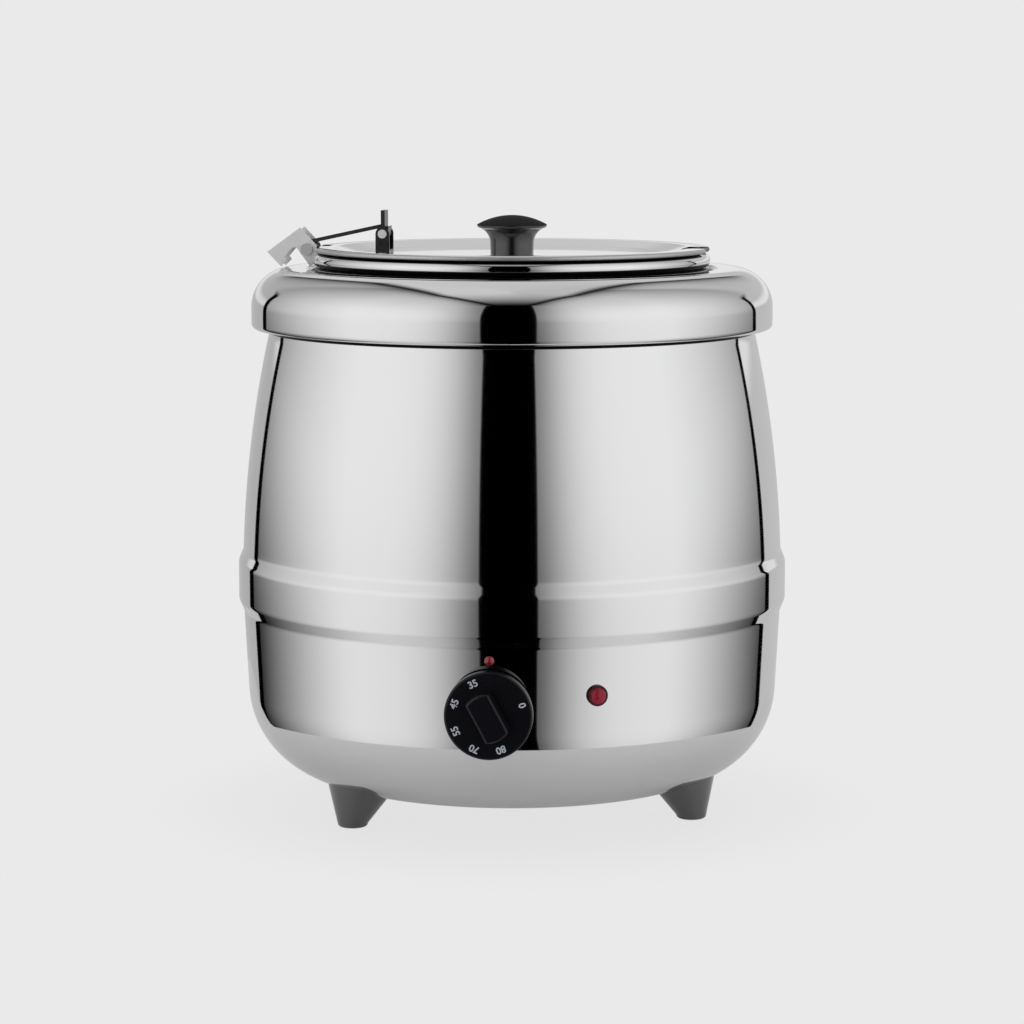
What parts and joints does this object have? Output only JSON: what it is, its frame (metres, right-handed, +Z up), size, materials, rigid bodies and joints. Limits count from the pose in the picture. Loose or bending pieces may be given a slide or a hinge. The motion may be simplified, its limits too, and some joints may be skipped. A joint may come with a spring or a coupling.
{
  "type": "soup kettle",
  "caption": "Free-standing electric soup kettle: polished barrel jacket on feet, lift-out pot, hinged lid with ladle notch, heat dial and lamp.",
  "frame": {"origin": "on the table under the axis of the barrel", "axes": "+Z up along the barrel's axis, -Y towards the front between dial and lamp, +X to the right"},
  "size_m": [0.3304, 0.3542, 0.3603],
  "materials": {
    "polished_steel": "mirror polished",
    "satin_steel": "satin",
    "dark_steel": "dark plated",
    "black_plastic": "satin",
    "red_plastic": "gloss",
    "copper_tube": "drawn",
    "cast_aluminium": "as cast"
  },
  "bodies": {
    "kettle": {"outer_shell": "polished_steel", "top_collar": "polished_steel", "water_well": "satin_steel", "base_plate": "satin_steel", "base_screws": "satin_steel", "foot_left": "black_plastic", "foot_right": "black_plastic", "foot_rear": "black_plastic", "foot_screws": "satin_steel", "thermostat_body": "black_plastic", "thermostat_nut": "satin_steel", "thermostat_bulb": "copper_tube", "lamp_lens": "red_plastic", "lamp_housing": "black_plastic", "lamp_clip": "satin_steel", "index_stud": "red_plastic", "cable_gland": "black_plastic", "gland_nut": "black_plastic", "heater_plate": "cast_aluminium", "heating_element": "satin_steel", "clamp_bar": "satin_steel", "clamp_nut": "satin_steel", "thermal_cutout": "black_plastic", "terminal_block": "black_plastic"},
    "dial": {"dial_knob": "black_plastic", "thermostat_shaft": "satin_steel"},
    "pot": {"soup_pot": "satin_steel"},
    "lid_ring": {"pot_ring": "polished_steel", "hinge_bracket": "satin_steel", "hinge_pin": "satin_steel"},
    "lid_arm": {"lid_arm": "dark_steel"},
    "lid": {"lid": "polished_steel", "lid_clevis": "dark_steel", "clevis_pin": "satin_steel", "lid_knob": "black_plastic", "lid_knob_screw": "satin_steel"}
  },
  "joints": [
    {"name": "dial_turn", "type": "hinge", "parent": "kettle", "child": "dial", "pos_m": [-0.0312, -0.16202, 0.085], "axis": [0.1891, 0.982, 0], "range_deg": [-71, 201]},
    {"name": "pot_lift", "type": "slide", "parent": "kettle", "child": "pot", "axis": [0, 0, 1], "range_m": [0, 0.3]},
    {"name": "ring_lift", "type": "slide", "parent": "pot", "child": "lid_ring", "axis": [0, 0, 1], "range_m": [0, 0.05]},
    {"name": "lid_hinge", "type": "hinge", "parent": "lid_ring", "child": "lid_arm", "pos_m": [-0.12003, 0.02993, 0.3368], "axis": [-0.2419, -0.9703, 0], "range_deg": [0, 92]},
    {"name": "lid_tilt", "type": "hinge", "parent": "lid_arm", "child": "lid", "pos_m": [-0.0752, 0.01875, 0.3462], "axis": [-0.2419, -0.9703, 0], "range_deg": [0, 4.6]}
  ],
  "couplings": [
    {"joint": "lid_tilt", "follows": "lid_hinge", "ratio": 0.05}
  ]
}
